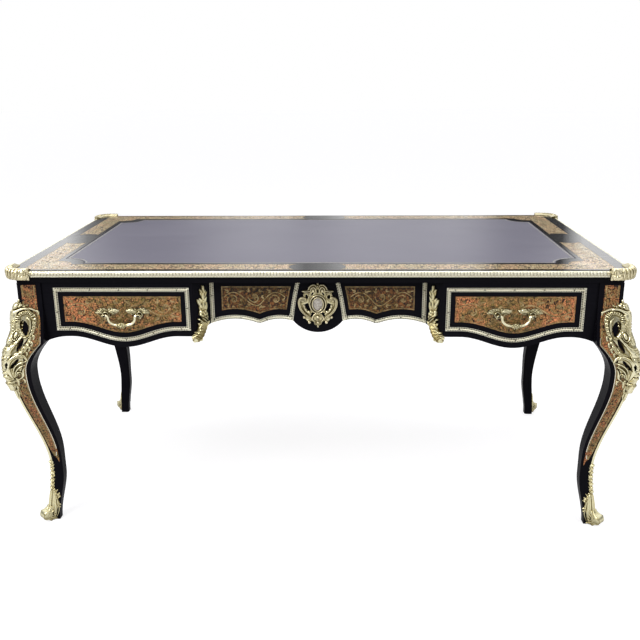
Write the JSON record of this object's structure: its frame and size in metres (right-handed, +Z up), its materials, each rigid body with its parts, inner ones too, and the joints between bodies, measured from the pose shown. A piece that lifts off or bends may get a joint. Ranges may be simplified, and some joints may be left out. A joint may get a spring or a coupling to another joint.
{
  "type": "bureau plat",
  "caption": "Flat writing table on cabriole legs, with frieze drawers, leather top, brass marquetry and gilt bronze mounts.",
  "frame": {"origin": "on the floor, at the centre of the table's footprint", "axes": "+X along the length, to the right as seen from the drawer side; +Y from the drawer side to the back; +Z up"},
  "size_m": [1.7626, 0.9626, 0.79],
  "materials": {
    "ebonised_wood": "french polished",
    "oak": "waxed",
    "boulle_marquetry": "polished brass and shell veneer",
    "gilt_bronze": "cast, chased and gilt",
    "leather": "polished skiver",
    "cabochon": "polished pale stone"
  },
  "bodies": {
    "desk": {"top_panel": "ebonised_wood", "leather_panel": "leather", "top_inlays": "boulle_marquetry", "edge_mouldings": "gilt_bronze", "top_corner_front_left": "gilt_bronze", "top_corner_front_right": "gilt_bronze", "top_corner_back_left": "gilt_bronze", "top_corner_back_right": "gilt_bronze", "leg_front_left": "ebonised_wood", "leg_front_right": "ebonised_wood", "leg_back_left": "ebonised_wood", "leg_back_right": "ebonised_wood", "knee_mount_front_left": "gilt_bronze", "knee_mount_front_right": "gilt_bronze", "knee_mount_back_left": "gilt_bronze", "knee_mount_back_right": "gilt_bronze", "sabot_front_left": "gilt_bronze", "sabot_front_right": "gilt_bronze", "sabot_back_left": "gilt_bronze", "sabot_back_right": "gilt_bronze", "arris_fillets": "gilt_bronze", "leg_inlays": "boulle_marquetry", "side_apron_left": "ebonised_wood", "side_apron_right": "ebonised_wood", "back_apron": "ebonised_wood", "front_rails_left": "ebonised_wood", "front_rails_right": "ebonised_wood", "partition_left": "ebonised_wood", "partition_right": "ebonised_wood", "drawer_runners": "oak", "drawer_kickers": "oak", "drawer_stops": "oak", "leaf_mount_left": "gilt_bronze", "leaf_mount_right": "gilt_bronze", "back_cartouche": "gilt_bronze", "back_leaf_mounts": "gilt_bronze", "apron_frames": "gilt_bronze", "apron_inlays": "boulle_marquetry"},
    "drawer_left": {"drawer_front_left": "ebonised_wood", "drawer_box_left": "oak", "drawer_bottom_left": "oak", "drawer_frame_left": "gilt_bronze", "drawer_inlay_left": "boulle_marquetry", "handle_plates_left": "gilt_bronze"},
    "drawer_centre": {"drawer_front_centre": "ebonised_wood", "drawer_box_centre": "oak", "drawer_bottom_centre": "oak", "drawer_frame_centre": "gilt_bronze", "drawer_inlay_centre": "boulle_marquetry", "cartouche": "gilt_bronze", "cabochon": "cabochon"},
    "drawer_right": {"drawer_front_right": "ebonised_wood", "drawer_box_right": "oak", "drawer_bottom_right": "oak", "drawer_frame_right": "gilt_bronze", "drawer_inlay_right": "boulle_marquetry", "handle_plates_right": "gilt_bronze"},
    "bail_left": {"handle_bail_left": "gilt_bronze"},
    "bail_right": {"handle_bail_right": "gilt_bronze"}
  },
  "joints": [
    {"name": "left_drawer_slide", "type": "slide", "parent": "desk", "child": "drawer_left", "axis": [0, -1, 0], "range_m": [0, 0.38]},
    {"name": "centre_drawer_slide", "type": "slide", "parent": "desk", "child": "drawer_centre", "axis": [0, -1, 0], "range_m": [0, 0.38]},
    {"name": "right_drawer_slide", "type": "slide", "parent": "desk", "child": "drawer_right", "axis": [0, -1, 0], "range_m": [0, 0.38]},
    {"name": "left_bail_swing", "type": "hinge", "parent": "drawer_left", "child": "bail_left", "pos_m": [-0.5425, -0.4433, 0.65374], "axis": [-1, 0, 0], "range_deg": [0, 85]},
    {"name": "right_bail_swing", "type": "hinge", "parent": "drawer_right", "child": "bail_right", "pos_m": [0.5425, -0.4433, 0.65374], "axis": [-1, 0, 0], "range_deg": [0, 85]}
  ]
}
